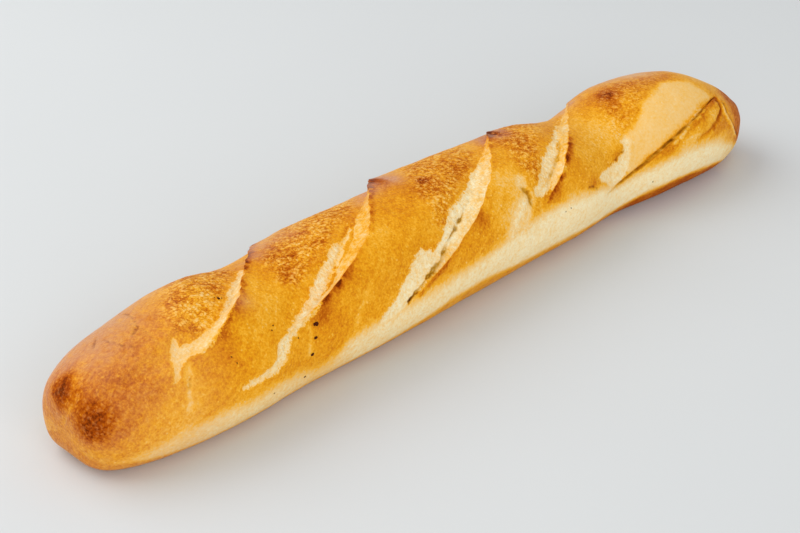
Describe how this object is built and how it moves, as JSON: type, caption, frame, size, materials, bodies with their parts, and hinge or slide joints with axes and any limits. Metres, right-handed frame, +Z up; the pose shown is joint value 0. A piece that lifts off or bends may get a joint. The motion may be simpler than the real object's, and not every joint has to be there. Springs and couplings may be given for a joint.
{
  "type": "baguette",
  "caption": "Short, broad loaf of crusty bread with diagonal slashes, raised crust edges and a flat sole to lie on.",
  "frame": {"origin": "under the middle of the loaf's box, at the height of its flat sole", "axes": "+X along the loaf, from its round tip to its folded tip; -Y is the side that the slashes open towards; +Z is up, through the crown"},
  "size_m": [0.4506, 0.0792, 0.0598],
  "materials": {
    "crust": "golden brown baked crust, satin on the smooth flaps, matt and pale cream where the slashes opened"
  },
  "bodies": {
    "root": {"loaf": "crust"}
  },
  "joints": []
}
